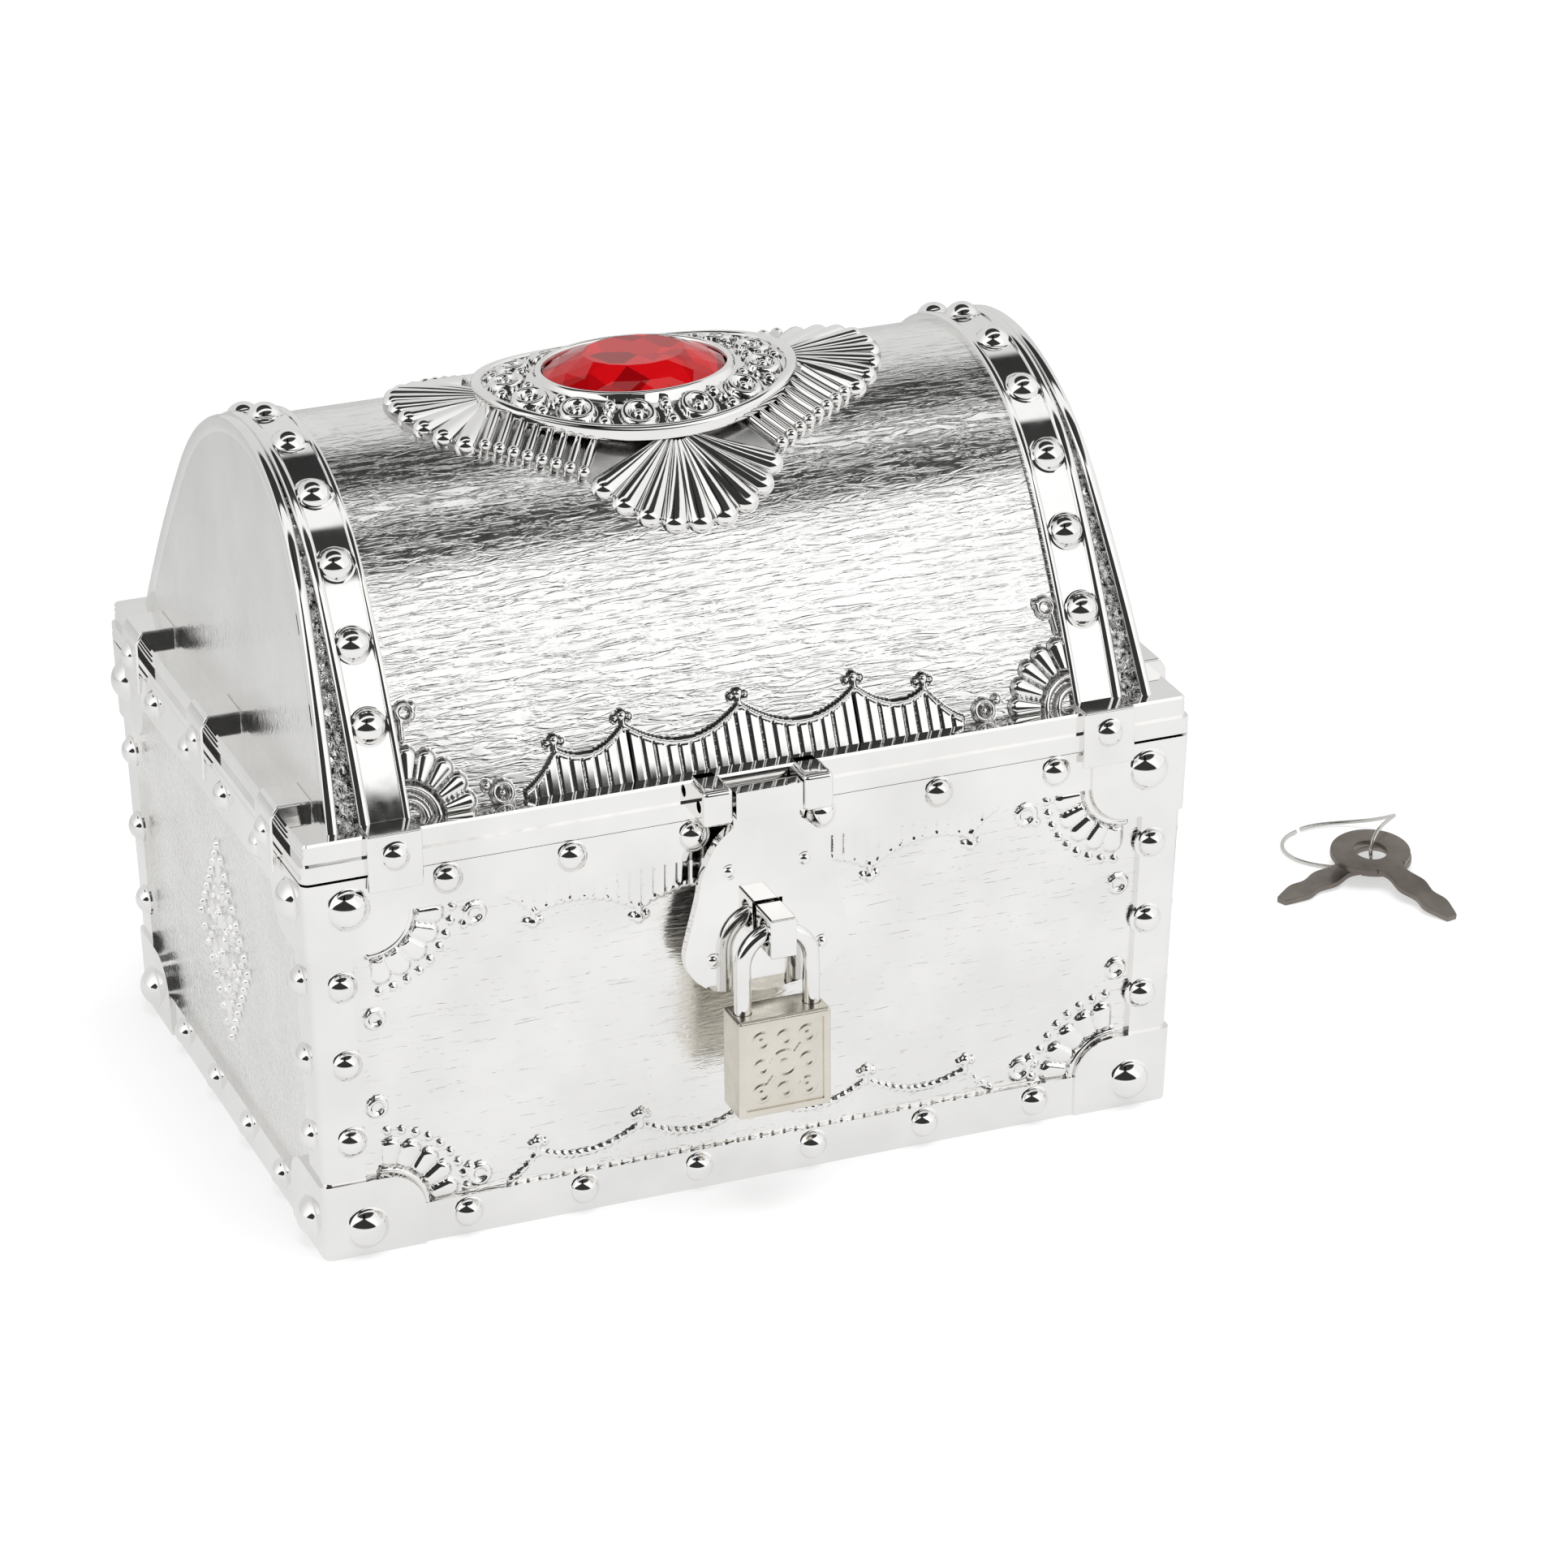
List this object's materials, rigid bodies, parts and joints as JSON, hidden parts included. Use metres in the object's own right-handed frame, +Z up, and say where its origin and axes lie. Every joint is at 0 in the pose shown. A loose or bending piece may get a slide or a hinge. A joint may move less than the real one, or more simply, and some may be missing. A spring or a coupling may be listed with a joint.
{
  "type": "treasure chest box",
  "caption": "Keepsake box shaped like a treasure chest: tapered studded base, hinged arched lid with a red gem medallion, hasp with a small padlock, and keys on a wire loop.",
  "frame": {"origin": "on the floor under the middle of the base", "axes": "+Z up, front with the hasp and padlock towards -Y, +X to the viewer's right, where the keys lie"},
  "size_m": [0.2317, 0.1243, 0.1252],
  "materials": {
    "plated_shell": "moulded plastic plated mirror silver, with polished bands and grained panels",
    "plated_trim": "moulded plastic plated mirror silver",
    "gem": "faceted, polished",
    "hasp": "moulded plastic plated mirror silver",
    "padlock_case": "satin nickel plate",
    "shackle": "polished",
    "pins": "drawn wire",
    "lock_parts": "machined",
    "keys": "stamped, dull",
    "wire": "thin plain wire"
  },
  "bodies": {
    "base": {"base_tub": "plated_shell", "hinge_pin_left": "pins", "hinge_pin_right": "pins"},
    "lid": {"lid_shell": "plated_shell", "crown_ornament": "plated_trim", "gem_bezel": "plated_trim", "gem": "gem", "hasp_hinge_pin": "pins"},
    "hasp": {"hasp_plate": "hasp", "hasp_staple": "hasp"},
    "shackle": {"padlock_shackle": "shackle"},
    "padlock": {"padlock_body": "padlock_case", "padlock_retaining_pin": "pins", "padlock_spring": "pins"},
    "plug": {"padlock_keyway_plug": "lock_parts"},
    "latch": {"padlock_latch": "lock_parts"},
    "key_loop": {"key_wire": "wire"},
    "first_key": {"key_1": "keys"},
    "second_key": {"key_2": "keys"}
  },
  "joints": [
    {"name": "lid_hinge", "type": "hinge", "parent": "base", "child": "lid", "pos_m": [0, 0.0559, 0.0666], "axis": [-1, 0, 0], "range_deg": [0, 100]},
    {"name": "hasp_hinge", "type": "hinge", "parent": "lid", "child": "hasp", "pos_m": [0, -0.0556, 0.0701], "axis": [-1, 0, 0], "range_deg": [0, 95]},
    {"name": "padlock_swing", "type": "hinge", "parent": "hasp", "child": "shackle", "pos_m": [0, -0.0603, 0.04885], "axis": [-1, 0, 0], "range_deg": [0, 65]},
    {"name": "padlock_release", "type": "slide", "parent": "shackle", "child": "padlock", "axis": [0, 0, -1], "range_m": [0, 0.0048], "deforming": ["padlock_spring"]},
    {"name": "padlock_key_turn", "type": "hinge", "parent": "padlock", "child": "plug", "pos_m": [0, -0.0603, 0.0182], "axis": [0, 0, 1], "range_deg": [0, 90]},
    {"name": "padlock_latch_slide", "type": "slide", "parent": "padlock", "child": "latch", "axis": [-1, 0, 0], "range_m": [0, 0.001]},
    {"name": "keys_lift", "type": "slide", "parent": "base", "child": "key_loop", "axis": [0, 0, 1], "range_m": [0, 0.06]},
    {"name": "key_1_swing", "type": "hinge", "parent": "key_loop", "child": "first_key", "pos_m": [0.1445, 0.0145, 0.004], "axis": [0, 0, 1], "range_deg": [-15, 15]},
    {"name": "key_2_swing", "type": "hinge", "parent": "key_loop", "child": "second_key", "pos_m": [0.1445, 0.0145, 0.0015], "axis": [0, 0, 1], "range_deg": [-15, 15]}
  ],
  "couplings": [
    {"joint": "padlock_key_turn", "follows": "padlock_latch_slide", "rad_per_m": 1570.7}
  ]
}
